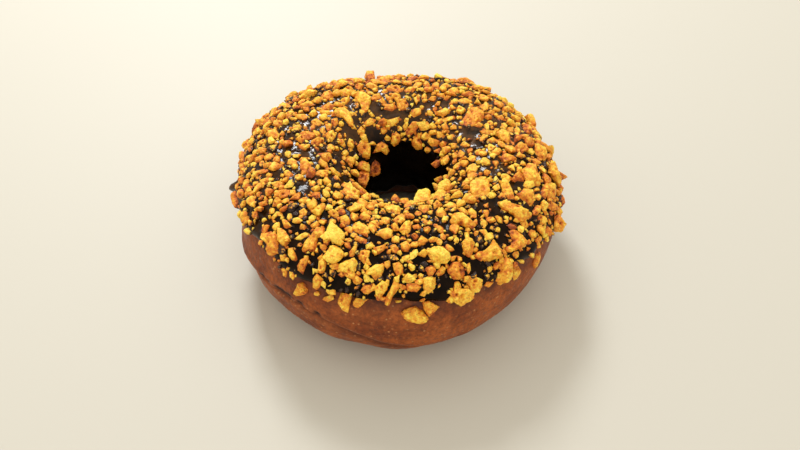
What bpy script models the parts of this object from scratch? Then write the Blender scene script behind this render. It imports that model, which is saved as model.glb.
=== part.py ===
"""Chocolate crunch doughnut: a ring of chocolate dough and the dark icing that its crown was dipped in.

The dough is a lopsided ring with an uneven hole, a flat underside to rest on and a shallow fold round its side.
The icing is a shell over the crown. It runs down into the hole, and ends in a wavy edge on the outer side.
Metres, +Z up. The origin is on the surface that the ring rests on, under the middle of its bounding box.
"""
import math

import bmesh
import bpy
from mathutils import Vector

# Driving dimensions of the dough ring
RING_RADIUS = 0.0400
RING_CENTRE = Vector((-0.0005, 0.0008, 0.0))
HOLE_RADIUS = 0.0092
CROWN_HEIGHT = 0.0284
WAIST_HEIGHT = 0.0135
UNDERSIDE_DEPTH = 0.0150
UNDERSIDE_ROUNDING = 0.0008
SECTION_SQUARENESS = 2.2

# Unevenness round the ring: waves round the circle, their depth, and the azimuth of a crest in degrees
RING_WAVES = ((2, 0.0009, 0.0), (3, 0.0012, 29.0), (4, 0.0008, -38.0), (5, 0.0006, -9.0))
HOLE_WAVES = ((1, 0.0018, 60.0), (2, 0.0006, 0.0), (3, 0.0003, 95.0))
CROWN_WAVES = ((1, 0.0003, 150.0), (2, 0.0004, 65.0), (3, 0.0003, -20.0))

# The fold round the side, where the upper dough rolls over the lower
FOLD_HEIGHT = 0.0088
FOLD_WAVES = ((1, 0.0041, -152.0), (2, 0.0017, 50.0), (3, 0.0009, -2.0), (4, 0.0011, -33.0))
FOLD_DEPTH = 0.0006
FOLD_WIDTH = 0.0009

# The icing: how far round the section it reaches, in degrees from the outer waist up over the crown
ICING_THICKNESS = 0.0011
ICING_GAP = 0.0003
ICING_OUTER_EDGE = 24.0
ICING_OUTER_WAVES = ((1, 14.0, -99.0), (2, 3.0, 73.0), (3, 1.0, -42.0), (7, 2.2, 11.0), (12, 1.0, 5.0))
ICING_HOLE_EDGE = 188.0
ICING_HOLE_WAVES = ((1, 6.0, 60.0), (4, 5.0, 20.0))
ICING_EDGE_ROUNDING = 0.00035

# Fineness of the meshes
SECTIONS_ROUND = 64
DOUGH_ROWS = 36
DOUGH_ROW_PULL = 0.62
ICING_ROWS = 15

DOUGH_COLOUR = (0.150, 0.052, 0.026, 1.0)
ICING_COLOUR = (0.016, 0.009, 0.007, 1.0)


def waves(terms, azimuth):
    """Sum of cosine waves round the ring at this azimuth."""
    return sum(depth * math.cos(count * (azimuth - math.radians(crest))) for count, depth, crest in terms)


def signed_power(value, power):
    return math.copysign(abs(value) ** power, value)


def rounded_floor(height):
    """Zero below the floor and unchanged above it, with a parabola between that meets both smoothly."""
    if height >= UNDERSIDE_ROUNDING:
        return height
    if height <= -UNDERSIDE_ROUNDING:
        return 0.0
    return (height + UNDERSIDE_ROUNDING) ** 2 / (4 * UNDERSIDE_ROUNDING)


def dough_point(azimuth, turn, lift=0.0):
    """Point of the dough's surface. Turn goes round the section: 0 at the outer waist, a quarter at the crown,
    a half in the hole. The section is a superellipse, and lift moves the point out along its normal."""
    outer = RING_RADIUS + waves(RING_WAVES, azimuth)
    inner = HOLE_RADIUS + waves(HOLE_WAVES, azimuth)
    half_width = (outer - inner) / 2
    upper = math.sin(turn) > 0
    half_height = CROWN_HEIGHT + waves(CROWN_WAVES, azimuth) - WAIST_HEIGHT if upper else UNDERSIDE_DEPTH
    across = signed_power(math.cos(turn), 2 / SECTION_SQUARENESS)
    along = signed_power(math.sin(turn), 2 / SECTION_SQUARENESS)
    normal = Vector((
        signed_power(across, SECTION_SQUARENESS - 1) / half_width,
        signed_power(along, SECTION_SQUARENESS - 1) / half_height,
    )).normalized()
    radius = (outer + inner) / 2 + half_width * across + lift * normal.x
    height = rounded_floor(WAIST_HEIGHT + half_height * along + lift * normal.y)
    return RING_CENTRE + Vector((radius * math.cos(azimuth), radius * math.sin(azimuth), height))


def fold_height(azimuth):
    return FOLD_HEIGHT + waves(FOLD_WAVES, azimuth)


def fold_turn(azimuth):
    """The turn at which the section is at the fold's height."""
    rise = fold_height(azimuth) - WAIST_HEIGHT
    half_height = CROWN_HEIGHT - WAIST_HEIGHT if rise > 0 else UNDERSIDE_DEPTH
    return math.asin(signed_power(rise / half_height, SECTION_SQUARENESS / 2))


def fold_lift(azimuth, turn):
    """Depth of the fold's groove: a bell curve across the fold, on the outer side only."""
    if math.cos(turn) <= 0:
        return 0.0
    away = (dough_point(azimuth, turn).z - fold_height(azimuth)) / FOLD_WIDTH
    return -FOLD_DEPTH * math.exp(-away * away)


def folded_dough_point(azimuth, turn):
    """The dough's surface with its rows drawn in towards the fold, and the fold pressed into it."""
    turn -= DOUGH_ROW_PULL * math.sin(turn - fold_turn(azimuth))
    return dough_point(azimuth, turn, fold_lift(azimuth, turn))


def icing_point(azimuth, turn):
    """The icing's inner surface: a half turn of the primitive is spread from the outer edge to the hole's."""
    first = math.radians(ICING_OUTER_EDGE + waves(ICING_OUTER_WAVES, azimuth))
    last = math.radians(ICING_HOLE_EDGE + waves(ICING_HOLE_WAVES, azimuth))
    share = turn / math.pi
    return dough_point(azimuth, first + (last - first) * share, ICING_GAP)


def make_material(name, colour, roughness, coat):
    material = bpy.data.materials.new(name)
    material.use_nodes = True
    shader = material.node_tree.nodes["Principled BSDF"]
    shader.inputs["Base Color"].default_value = colour
    shader.inputs["Roughness"].default_value = roughness
    shader.inputs["Metallic"].default_value = 0.0
    shader.inputs["Coat Weight"].default_value = coat
    return material


def add_ring(name, rows, collection):
    """A torus primitive of radius 1 and tube radius a half, moved into the collection."""
    bpy.ops.mesh.primitive_torus_add(
        major_segments=SECTIONS_ROUND, minor_segments=rows, major_radius=1.0, minor_radius=0.5)
    ring = bpy.context.active_object
    ring.name = name
    ring.data.name = name
    for owner in list(ring.users_collection):
        owner.objects.unlink(ring)
    collection.objects.link(ring)
    return ring


def reshape(ring, place):
    """Moves each vertex of the torus primitive to place(azimuth, turn)."""
    for vertex in ring.data.vertices:
        x, y, z = vertex.co
        azimuth = math.atan2(y, x)
        turn = math.atan2(z, math.hypot(x, y) - 1.0)
        vertex.co = place(azimuth, turn)


def keep_upper_half(ring):
    """Leaves an open band, from the outer waist over the crown to the hole."""
    mesh = bmesh.new()
    mesh.from_mesh(ring.data)
    lower = [face for face in mesh.faces if face.calc_center_median().z < 0]
    bmesh.ops.delete(mesh, geom=lower, context="FACES")
    mesh.to_mesh(ring.data)
    mesh.free()


def make_dough(collection):
    dough = add_ring("dough_ring", DOUGH_ROWS, collection)
    reshape(dough, folded_dough_point)
    dough.data.materials.append(make_material("chocolate_dough", DOUGH_COLOUR, 0.75, 0.0))
    dough.data.shade_smooth()


def make_icing(collection):
    icing = add_ring("chocolate_icing", 2 * ICING_ROWS, collection)
    keep_upper_half(icing)
    reshape(icing, icing_point)
    shell = icing.modifiers.new("shell", "SOLIDIFY")
    shell.thickness = ICING_THICKNESS
    shell.offset = 1.0
    edge = icing.modifiers.new("rounded_edge", "BEVEL")
    edge.width = ICING_EDGE_ROUNDING
    edge.segments = 2
    edge.limit_method = "ANGLE"
    edge.angle_limit = math.radians(50.0)
    icing.data.materials.append(make_material("dark_icing", ICING_COLOUR, 0.2, 0.5))
    icing.data.shade_smooth()


def main():
    for leftover in list(bpy.data.objects):
        bpy.data.objects.remove(leftover)
    collection = bpy.data.collections.new("chocolate_crunch_doughnut")
    bpy.context.scene.collection.children.link(collection)
    make_dough(collection)
    make_icing(collection)


main()
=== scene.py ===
"""Chocolate crunch doughnut: fine surfaces and finishes for the ring of dough, its icing and its crunch.

All lengths here are in millimetres and become metres when a mesh is made. +Z is up, the ring lies on z = 0
and the viewer stands at -Y. A place on the ring is an azimuth, counted from +X towards +Y, and a turn round
the section: 0 degrees at the outer waist, 90 on the crown, 180 in the hole.
"""
import math

import bpy
import numpy as np
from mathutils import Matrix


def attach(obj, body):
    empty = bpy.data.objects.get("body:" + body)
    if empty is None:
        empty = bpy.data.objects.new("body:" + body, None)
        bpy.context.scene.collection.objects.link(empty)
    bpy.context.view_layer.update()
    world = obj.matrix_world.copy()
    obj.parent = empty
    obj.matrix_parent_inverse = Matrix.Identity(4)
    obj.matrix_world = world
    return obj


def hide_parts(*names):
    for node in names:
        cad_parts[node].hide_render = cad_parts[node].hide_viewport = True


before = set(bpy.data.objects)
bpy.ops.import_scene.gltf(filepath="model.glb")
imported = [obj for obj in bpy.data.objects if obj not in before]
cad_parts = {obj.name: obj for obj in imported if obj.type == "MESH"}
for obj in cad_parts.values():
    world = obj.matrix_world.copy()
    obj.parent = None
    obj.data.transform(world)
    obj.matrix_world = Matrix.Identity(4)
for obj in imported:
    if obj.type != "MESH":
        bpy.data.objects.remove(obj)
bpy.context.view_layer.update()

MM = 0.001

# The ring, as in the solids
RING_RADIUS = 40.0
RING_CENTRE = (-0.5, 0.8, 0.0)
HOLE_RADIUS = 9.2
SECTION_RADIUS = (RING_RADIUS - HOLE_RADIUS) / 2
CROWN_HEIGHT = 28.4
WAIST_HEIGHT = 13.5
UNDERSIDE_DEPTH = 15.0
UNDERSIDE_ROUNDING = 0.8
SQUARENESS = 2.2
RING_WAVES = ((2, 0.9, 0.0), (3, 1.2, 29.0), (4, 0.8, -38.0), (5, 0.6, -9.0))
HOLE_WAVES = ((1, 1.8, 60.0), (2, 0.6, 0.0), (3, 0.3, 95.0))
CROWN_WAVES = ((1, 0.3, 150.0), (2, 0.4, 65.0), (3, 0.3, -20.0))

# The fold round the side of the dough. Its bulge, pits, tear and end are at azimuths in degrees
FOLD_HEIGHT = 8.8
FOLD_WAVES = ((1, 4.1, -152.0), (2, 1.7, 50.0), (3, 0.9, -2.0), (4, 1.1, -33.0))
FOLD_DEPTH = 0.85
FOLD_WIDTH = 0.5
FOLD_STRONGEST = -125.0
FOLD_WANDER = 0.3
FOLD_LIP = 0.30
FOLD_BULGE = -158.0
FOLD_BULGE_LENGTH = 7.0
FOLD_BULGE_DEPTH = 0.65
FOLD_PITS = (-142.0, -134.5, -132.0, -129.0, -124.0, -117.0)
FOLD_PIT_LENGTH = 0.9
FOLD_PIT_DEPTH = 0.8
FOLD_TEAR = -131.0
FOLD_TEAR_LENGTH = 12.0
FOLD_END = -99.0
FOLD_END_LENGTH = 10.0

# Unevenness of the dough's skin, and painted shade below the icing's edge
SKIN_LAYERS = ((0.28, 9.0, 12), (0.13, 3.2, 13), (0.05, 1.1, 14))
PAINTED_SHADE_AZIMUTH = 18.0
PAINTED_SHADE_START = 0.5
PAINTED_SHADE_WIDTH = 2.6

# The icing: how far round the section it reaches, in degrees of turn
COAT_HEIGHT = 1.4
COAT_OUTER_EDGE = 24.0
COAT_OUTER_WAVES = ((1, 14.0, -99.0), (2, 3.0, 73.0), (3, 1.0, -42.0), (7, 2.2, 11.0), (12, 1.0, 5.0),
                    (23, 0.9, 3.0), (37, 0.6, 8.0))
COAT_HOLE_EDGE = 188.0
COAT_HOLE_WAVES = ((1, 6.0, 60.0), (4, 5.0, 20.0), (11, 2.0, 9.0))
COAT_EDGE_ROUNDING = 1.1
COAT_EDGE_BEAD = 0.25
COAT_SUNK = 0.25
COAT_DROP_AZIMUTH = 178.5
COAT_DROP_TURN = 12.0
COAT_DROP_HEIGHT = 2.0
COAT_DROP_WIDTH = 2.1
COAT_DROP_REACH = 13.0
CRUMB_SWELL = 0.35
CRUMB_SWELL_REACH = 0.62

# Colours, from dark to light where there are two
DOUGH_SKIN = ((0.172, 0.036, 0.0080), (0.368, 0.094, 0.0190))
DOUGH_SPECK = (0.50, 0.22, 0.08)
# Paler band below the fold, the dough's own colour, and a painted highlight on the lip towards the fold's end
DOUGH_PALE_BAND_AND_LIP_HIGHLIGHT = (0.34, 0.13, 0.050)
# Painted shade below the icing's edge, most in front, and in the hole
DOUGH_PAINTED_SHADE = (0.050, 0.013, 0.0070)
# Painted shade in the fold's groove and pits
DOUGH_PAINTED_CREASE_SHADE = (0.032, 0.008, 0.004)
ICING_BODY = ((0.0008, 0.0005, 0.0004), (0.0050, 0.0024, 0.0012))
# Painted light: paler brown on the icing where the light from behind falls
ICING_PAINTED_BACKLIGHT = (0.100, 0.039, 0.0065)
# Painted sheen: grey along the icing's edge on both sides
ICING_PAINTED_EDGE_SHEEN = (0.150, 0.130, 0.110)
CRUNCH_GOLD = ((0.0, (0.91, 0.63, 0.075)), (0.2, (0.85, 0.49, 0.042)), (0.4, (0.78, 0.35, 0.024)),
               (0.6, (0.70, 0.23, 0.013)), (0.8, (0.55, 0.13, 0.008)), (1.0, (0.28, 0.055, 0.005)))
CRUNCH_SOAKED = (0.030, 0.013, 0.008)
FLOOR_COLOUR = (0.53, 0.505, 0.44)

# The photograph: its frame in pixels, and the camera that it was taken from
PHOTO_WIDTH = 800
PHOTO_HEIGHT = 450
CAMERA_PLACE = np.array((0.43, -122.4, 158.0))
CAMERA_DIP = 51.2
CAMERA_FOCUS = 729.0
SENSOR_WIDTH = 36.0
CAMERA_RIGHT = np.array((1.0, 0.0, 0.0))
CAMERA_UP = np.array((0.0, math.sin(math.radians(CAMERA_DIP)), math.cos(math.radians(CAMERA_DIP))))
CAMERA_AHEAD = np.array((0.0, math.cos(math.radians(CAMERA_DIP)), -math.sin(math.radians(CAMERA_DIP))))

# The crumbs that stand out in the photograph. Each has its tone, from pale yellow (0) to burnt orange (1),
# and then the corners of its outline in the photograph, x and y in pixels.
SEEN_CRUMBS = (
    # Back left
    (0.65, 340, 82, 352, 78, 362, 79, 362, 85, 352, 88, 341, 87),
    (0.55, 364, 72, 374, 72, 375, 80, 372, 88, 367, 85, 365, 79),
    (0.45, 376, 80, 388, 76, 398, 80, 396, 86, 384, 85),
    (0.50, 383, 87, 397, 85, 403, 91, 402, 94, 390, 94, 383, 92),
    (0.40, 329, 83, 334, 79, 338, 82, 338, 88, 331, 88),
    (0.60, 317, 85, 324, 82, 328, 86, 325, 90, 318, 90),
    (0.30, 337, 91, 346, 89, 356, 91, 355, 96, 343, 97, 337, 95),
    (0.45, 319, 93, 330, 91, 337, 96, 333, 101, 322, 101),
    (0.25, 341, 97, 350, 96, 350, 104, 345, 107, 341, 103),
    (0.30, 355, 93, 366, 93, 371, 98, 368, 110, 364, 113, 360, 104, 355, 100),
    (0.50, 372, 94, 379, 94, 384, 99, 379, 101, 373, 99),
    (0.40, 385, 95, 391, 97, 395, 102, 388, 103, 385, 100),
    (0.60, 380, 104, 385, 107, 394, 104, 397, 108, 392, 112, 383, 109),
    (0.30, 333, 112, 342, 106, 349, 112, 353, 120, 353, 127, 349, 126, 343, 118, 334, 116),
    (0.25, 349, 112, 355, 112, 358, 116, 353, 119, 349, 117),
    (0.60, 320, 107, 329, 103, 335, 106, 334, 111, 326, 113, 319, 111),
    (0.30, 320, 111, 329, 110, 331, 115, 324, 117, 320, 115),
    (0.45, 331, 119, 337, 118, 339, 124, 335, 128, 331, 125),
    (0.35, 311, 120, 318, 119, 323, 123, 319, 128, 312, 124),
    (0.40, 300, 105, 308, 101, 318, 102, 318, 106, 308, 108, 304, 113, 300, 110),
    (0.50, 295, 115, 305, 114, 311, 117, 304, 121, 296, 119),
    (0.35, 284, 113, 292, 110, 296, 114, 292, 118, 285, 118),
    (0.35, 278, 107, 284, 103, 291, 103, 291, 108, 283, 110),
    (0.40, 307, 87, 311, 85, 314, 91, 312, 95, 307, 94),
    (0.45, 292, 100, 294, 95, 299, 97, 298, 101),
    (0.50, 265, 117, 268, 112, 272, 117, 268, 120),
    (0.35, 256, 120, 264, 120, 275, 122, 274, 126, 264, 126, 256, 125),
    (0.45, 274, 120, 284, 121, 287, 126, 278, 128, 273, 125),
    (0.35, 253, 133, 258, 128, 264, 132, 262, 137, 254, 137),
    (0.40, 268, 131, 276, 130, 281, 135, 277, 140, 269, 138),
    (0.30, 293, 126, 300, 124, 304, 128, 299, 132, 293, 130),
    (0.60, 299, 135, 303, 131, 313, 131, 317, 134, 312, 140, 303, 141),
    (0.35, 320, 128, 324, 127, 326, 133, 322, 136, 319, 132),
    (0.50, 311, 141, 318, 137, 322, 139, 320, 148, 314, 149, 311, 145),
    (0.25, 324, 133, 333, 130, 336, 136, 332, 142, 327, 142, 324, 138),
    (0.40, 338, 140, 343, 139, 346, 146, 343, 149, 339, 145),
    (0.45, 363, 123, 370, 118, 376, 120, 373, 125, 366, 127),
    (0.25, 382, 118, 388, 120, 399, 117, 400, 122, 393, 126, 388, 127),
    (0.50, 380, 128, 385, 126, 388, 131, 385, 136, 381, 133),
    # Left
    (0.65, 231, 193, 236, 191, 240, 195, 239, 200, 231, 199),
    (0.40, 240, 143, 248, 140, 252, 146, 247, 150, 241, 149),
    (0.40, 239, 151, 245, 152, 247, 159, 241, 161, 238, 157),
    (0.35, 257, 141, 264, 139, 269, 143, 264, 147, 258, 147),
    (0.30, 256, 148, 262, 147, 268, 151, 262, 154, 256, 152),
    (0.30, 247, 154, 255, 154, 256, 161, 250, 163, 247, 160),
    (0.55, 239, 164, 245, 162, 250, 166, 246, 172, 240, 170),
    (0.05, 250, 163, 256, 162, 260, 166, 255, 169, 250, 167),
    (0.40, 279, 141, 283, 139, 287, 144, 284, 147, 280, 145),
    (0.50, 298, 145, 303, 143, 309, 147, 305, 151, 299, 151),
    (0.35, 263, 157, 270, 153, 276, 155, 273, 160, 265, 161),
    (0.45, 263, 164, 270, 162, 275, 164, 274, 169, 266, 170, 263, 168),
    (0.50, 316, 155, 322, 152, 329, 152, 332, 157, 328, 162, 320, 162, 316, 159),
    (0.35, 285, 162, 292, 158, 297, 161, 299, 168, 294, 168, 287, 165),
    (0.40, 300, 161, 305, 158, 311, 166, 308, 173, 303, 179, 299, 177, 300, 169),
    (0.35, 283, 171, 288, 170, 294, 175, 292, 179, 285, 178),
    (0.35, 252, 175, 256, 170, 265, 169, 267, 173, 260, 177, 252, 178),
    (0.50, 260, 180, 268, 177, 274, 180, 269, 184, 261, 184),
    (0.35, 253, 180, 259, 180, 261, 186, 257, 190, 253, 186),
    (0.45, 243, 180, 248, 179, 253, 187, 250, 192, 244, 189),
    (0.30, 314, 174, 319, 170, 328, 170, 331, 173, 324, 177, 317, 177),
    (0.30, 328, 169, 333, 166, 337, 172, 334, 173),
    (0.35, 309, 182, 312, 179, 316, 183, 313, 188, 309, 186),
    (0.30, 322, 192, 326, 187, 331, 188, 330, 193, 324, 194),
    (0.35, 271, 183, 278, 181, 286, 183, 284, 188, 275, 188),
    (0.50, 274, 193, 281, 190, 291, 190, 292, 196, 284, 199, 276, 199),
    (0.35, 290, 190, 295, 190, 297, 195, 293, 198, 290, 195),
    (0.35, 246, 198, 252, 195, 257, 196, 256, 203, 251, 206, 247, 203),
    (0.50, 258, 203, 268, 200, 269, 205, 261, 207),
    (0.35, 299, 198, 307, 197, 309, 202, 303, 205, 298, 203),
    (0.35, 311, 201, 313, 197, 318, 202, 316, 205, 312, 204),
    (0.35, 241, 212, 246, 211, 251, 217, 250, 223, 241, 223, 240, 217),
    (0.60, 253, 212, 258, 211, 259, 219, 255, 220, 252, 216),
    # Round the hole
    (0.35, 343, 159, 348, 156, 355, 158, 355, 165, 350, 165, 344, 162),
    (0.30, 361, 132, 366, 135, 369, 143, 364, 144, 360, 137),
    (0.40, 357, 146, 362, 142, 370, 144, 370, 155, 368, 161, 362, 158, 358, 150),
    (0.75, 368, 162, 374, 159, 381, 165, 381, 172, 376, 177, 368, 175),
    (0.40, 354, 165, 361, 160, 370, 162, 370, 172, 362, 171, 356, 169),
    (0.60, 353, 176, 360, 172, 369, 171, 368, 180, 365, 188, 357, 184),
    (0.50, 373, 153, 377, 145, 382, 141, 387, 145, 389, 151, 386, 155, 381, 151),
    (0.45, 390, 135, 395, 131, 400, 135, 400, 143, 395, 147, 391, 143),
    (0.30, 402, 127, 406, 122, 409, 123, 408, 129, 404, 132),
    (0.55, 404, 133, 408, 128, 412, 122, 417, 122, 419, 127, 414, 133, 407, 138),
    (0.50, 411, 140, 418, 136, 423, 141, 422, 149, 415, 150, 411, 145),
    (0.45, 428, 137, 434, 139, 440, 141, 437, 148, 431, 146, 428, 142),
    (0.60, 432, 151, 440, 148, 446, 151, 440, 154),
    (0.70, 431, 164, 436, 160, 444, 160, 442, 166, 435, 168),
    (0.45, 434, 179, 441, 176, 444, 179, 441, 184, 436, 183),
    (0.25, 433, 183, 437, 184, 443, 190, 440, 194, 435, 190),
    (0.25, 341, 195, 345, 187, 350, 182, 353, 188, 359, 192, 357, 199, 350, 202, 341, 201),
    (0.40, 356, 201, 362, 197, 368, 201, 368, 207, 362, 211, 357, 206),
    (0.40, 369, 204, 375, 200, 378, 203, 376, 208, 370, 208),
    (0.40, 380, 204, 387, 202, 390, 206, 385, 209, 380, 208),
    (0.60, 390, 196, 395, 194, 400, 198, 399, 204, 392, 202),
    (0.45, 398, 199, 408, 198, 409, 203, 402, 207),
    (0.30, 401, 211, 404, 205, 411, 200, 414, 204, 412, 210),
    (0.35, 418, 205, 428, 205, 430, 211, 424, 217, 418, 213),
    (0.05, 414, 200, 418, 190, 425, 187, 430, 192, 430, 201, 424, 205, 417, 206),
    (0.15, 432, 198, 434, 192, 441, 190, 448, 192, 447, 198, 440, 202, 434, 201),
    # Back right
    (0.45, 399, 81, 405, 80, 409, 83, 404, 85, 400, 84),
    (0.40, 412, 82, 419, 79, 421, 84, 414, 85),
    (0.45, 422, 82, 426, 79, 430, 85, 430, 92, 425, 92, 423, 88),
    (0.40, 431, 87, 435, 81, 439, 84, 439, 90, 433, 93),
    (0.30, 440, 85, 447, 83, 450, 86, 446, 90, 441, 90),
    (0.60, 450, 84, 457, 83, 464, 85, 462, 89, 456, 88),
    (0.50, 460, 94, 468, 91, 476, 93, 474, 98, 463, 97),
    (0.40, 474, 95, 480, 92, 489, 97, 487, 101, 478, 99),
    (0.40, 490, 96, 495, 92, 499, 99, 501, 104, 495, 103, 491, 101),
    (0.40, 447, 90, 452, 86, 458, 89, 459, 93, 453, 96, 448, 94),
    (0.45, 436, 94, 441, 92, 446, 95, 444, 100, 437, 98),
    (0.40, 404, 91, 409, 87, 417, 87, 416, 92, 411, 96, 405, 95),
    (0.40, 421, 93, 425, 92, 427, 97, 427, 103, 423, 104, 421, 99),
    (0.40, 397, 100, 405, 98, 409, 104, 407, 110, 400, 111, 397, 106),
    (0.35, 455, 101, 461, 98, 468, 99, 471, 103, 467, 106, 459, 104),
    (0.40, 410, 110, 416, 107, 424, 108, 421, 114, 414, 117, 410, 114),
    (0.35, 427, 111, 430, 109, 433, 113, 432, 117, 428, 116),
    (0.40, 437, 112, 445, 108, 452, 110, 451, 115, 444, 117, 438, 115),
    (0.30, 442, 119, 448, 117, 454, 116, 455, 118, 450, 121, 443, 123),
    (0.35, 433, 119, 437, 116, 440, 119, 437, 122),
    (0.20, 429, 125, 433, 122, 437, 126, 434, 130, 430, 129),
    (0.55, 441, 125, 446, 123, 449, 129, 446, 132, 443, 131),
    (0.50, 461, 124, 465, 116, 468, 110, 475, 107, 482, 111, 487, 117, 482, 124, 476, 128, 466, 127),
    (0.45, 486, 113, 491, 109, 496, 110, 494, 118, 490, 120, 487, 117),
    (0.50, 500, 109, 508, 106, 514, 111, 511, 115, 504, 114),
    (0.45, 496, 117, 502, 115, 505, 119, 503, 124, 498, 120),
    (0.40, 487, 122, 491, 120, 494, 124, 491, 128, 487, 126),
    (0.35, 516, 112, 520, 110, 522, 114, 519, 119, 516, 117),
    (0.60, 529, 122, 532, 124, 537, 133, 536, 138, 531, 136),
    (0.35, 521, 126, 525, 124, 529, 127, 526, 130),
    (0.35, 512, 131, 517, 127, 521, 130, 520, 136, 515, 136),
    (0.40, 517, 136, 523, 134, 529, 135, 526, 140, 518, 139),
    (0.30, 496, 133, 502, 129, 508, 132, 512, 140, 509, 146, 505, 147, 500, 139),
    (0.40, 479, 131, 485, 130, 496, 131, 495, 135, 484, 136),
    (0.45, 487, 140, 493, 137, 498, 140, 494, 144, 488, 143),
    # Right
    (0.35, 436, 131, 441, 132, 446, 136, 443, 139, 437, 138),
    (0.30, 447, 136, 453, 133, 456, 137, 453, 140, 448, 139),
    (0.40, 450, 143, 457, 143, 458, 148, 452, 150),
    (0.35, 459, 146, 464, 141, 470, 145, 466, 148),
    (0.40, 474, 151, 480, 149, 485, 152, 480, 156, 475, 155),
    (0.40, 450, 156, 455, 152, 459, 155, 457, 160, 452, 160),
    (0.35, 451, 170, 456, 164, 464, 160, 465, 163, 459, 168, 453, 172),
    (0.30, 464, 173, 469, 166, 474, 162, 478, 168, 476, 173, 469, 171),
    (0.30, 480, 159, 486, 156, 490, 161, 491, 168, 486, 166, 481, 163),
    (0.40, 491, 152, 496, 148, 503, 149, 501, 154, 495, 159),
    (0.55, 500, 158, 506, 153, 513, 156, 519, 160, 514, 162, 503, 163),
    (0.45, 514, 148, 519, 142, 526, 144, 529, 150, 521, 154, 515, 152),
    (0.45, 530, 146, 535, 141, 545, 143, 552, 149, 551, 154, 543, 150, 533, 150),
    (0.45, 529, 160, 536, 158, 541, 163, 537, 167, 531, 164),
    (0.30, 511, 166, 515, 163, 520, 165, 517, 169, 512, 168),
    (0.60, 513, 176, 519, 171, 524, 176, 524, 182, 518, 184, 514, 181),
    (0.65, 541, 165, 549, 167, 556, 170, 564, 175, 569, 178, 561, 182, 553, 180, 546, 173),
    (0.35, 522, 171, 528, 164, 535, 165, 542, 175, 543, 183, 538, 188, 531, 184, 525, 179),
    (0.40, 543, 187, 547, 183, 554, 184, 557, 191, 553, 199, 547, 202, 543, 195),
    (0.40, 515, 193, 524, 189, 532, 190, 537, 196, 533, 203, 529, 207, 523, 202),
    (0.30, 503, 177, 507, 180, 512, 190, 515, 200, 508, 201, 503, 194, 501, 186),
    (0.10, 492, 178, 496, 176, 499, 180, 497, 185, 492, 183),
    (0.35, 460, 189, 463, 182, 468, 178, 474, 179, 470, 184, 466, 189),
    (0.35, 443, 176, 447, 173, 451, 178, 449, 184, 444, 182),
    (0.05, 451, 184, 455, 180, 457, 184, 453, 187),
    (0.40, 450, 191, 456, 189, 461, 191, 460, 196, 453, 196),
    (0.30, 471, 183, 478, 179, 488, 180, 490, 188, 489, 198, 483, 201, 474, 199, 470, 192),
    (0.30, 462, 199, 466, 194, 470, 193, 477, 200, 477, 206, 472, 207, 467, 203),
    # Front left
    (0.35, 270, 218, 277, 212, 284, 212, 285, 217, 278, 216, 273, 221),
    (0.25, 288, 214, 292, 213, 293, 220, 289, 222, 287, 218),
    (0.40, 299, 211, 304, 208, 308, 212, 305, 219, 300, 217),
    (0.15, 306, 220, 312, 215, 317, 216, 315, 221, 308, 223),
    (0.35, 310, 225, 317, 221, 320, 225, 317, 229, 312, 228),
    (0.40, 319, 203, 325, 203, 326, 209, 322, 213, 319, 209),
    (0.45, 326, 199, 332, 198, 334, 203, 329, 206),
    (0.20, 337, 207, 343, 205, 344, 208, 339, 212),
    (0.35, 328, 212, 333, 209, 339, 212, 338, 219, 332, 219),
    (0.45, 262, 232, 270, 229, 277, 236, 279, 246, 279, 253, 272, 256, 267, 253, 266, 242, 261, 238),
    (0.30, 276, 227, 283, 229, 288, 235, 291, 242, 287, 248, 280, 244, 276, 237),
    (0.35, 288, 248, 293, 248, 297, 256, 299, 262, 292, 260, 288, 255),
    (0.45, 280, 255, 285, 253, 289, 257, 286, 261, 281, 261),
    (0.15, 294, 239, 302, 232, 310, 231, 309, 236, 301, 240),
    (0.50, 307, 239, 314, 233, 318, 238, 318, 249, 312, 253, 305, 254, 302, 249),
    (0.30, 340, 217, 346, 215, 351, 220, 350, 226, 344, 227, 340, 222),
    (0.50, 342, 228, 350, 226, 355, 229, 352, 234, 346, 232),
    (0.00, 321, 236, 327, 231, 331, 221, 337, 223, 339, 227, 344, 230, 344, 239, 338, 245, 330, 240, 324,
     240),
    (0.60, 352, 233, 358, 236, 370, 241, 368, 245, 360, 246, 354, 240),
    (0.15, 350, 225, 355, 221, 364, 222, 369, 228, 369, 233, 363, 237, 356, 233),
    (0.40, 357, 216, 364, 212, 371, 216, 369, 221, 361, 221),
    (0.05, 371, 213, 376, 208, 379, 211, 377, 216, 372, 217),
    (0.40, 370, 222, 377, 220, 380, 225, 376, 229, 371, 228),
    (0.30, 380, 217, 386, 215, 393, 221, 392, 227, 386, 226, 382, 222),
    (0.40, 392, 221, 399, 215, 405, 215, 405, 221, 397, 226, 392, 226),
    (0.25, 399, 230, 404, 223, 410, 220, 413, 226, 410, 233, 405, 239, 400, 235),
    (0.30, 372, 234, 380, 230, 388, 227, 393, 231, 391, 237, 385, 240, 380, 236),
    (0.25, 389, 241, 395, 236, 400, 236, 399, 242, 391, 244),
    (0.50, 320, 245, 325, 244, 328, 248, 324, 252, 320, 249),
    (0.35, 342, 239, 350, 238, 353, 241, 348, 244),
    (0.50, 349, 252, 354, 246, 357, 246, 356, 254, 352, 258, 348, 257),
    (0.20, 323, 257, 328, 250, 330, 246, 345, 247, 346, 253, 340, 260, 333, 264, 325, 260),
    (0.35, 358, 256, 362, 250, 366, 246, 370, 252, 368, 258, 371, 264, 366, 266, 360, 261),
    (0.55, 296, 266, 301, 260, 308, 256, 309, 262, 305, 268, 303, 274, 298, 270),
    (0.40, 319, 261, 324, 257, 327, 263, 327, 272, 323, 275, 318, 272),
    (0.45, 341, 272, 352, 270, 357, 273, 353, 280, 348, 278),
    (0.10, 335, 268, 340, 263, 346, 259, 354, 258, 359, 264, 356, 271, 350, 273, 344, 272, 337, 272),
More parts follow.
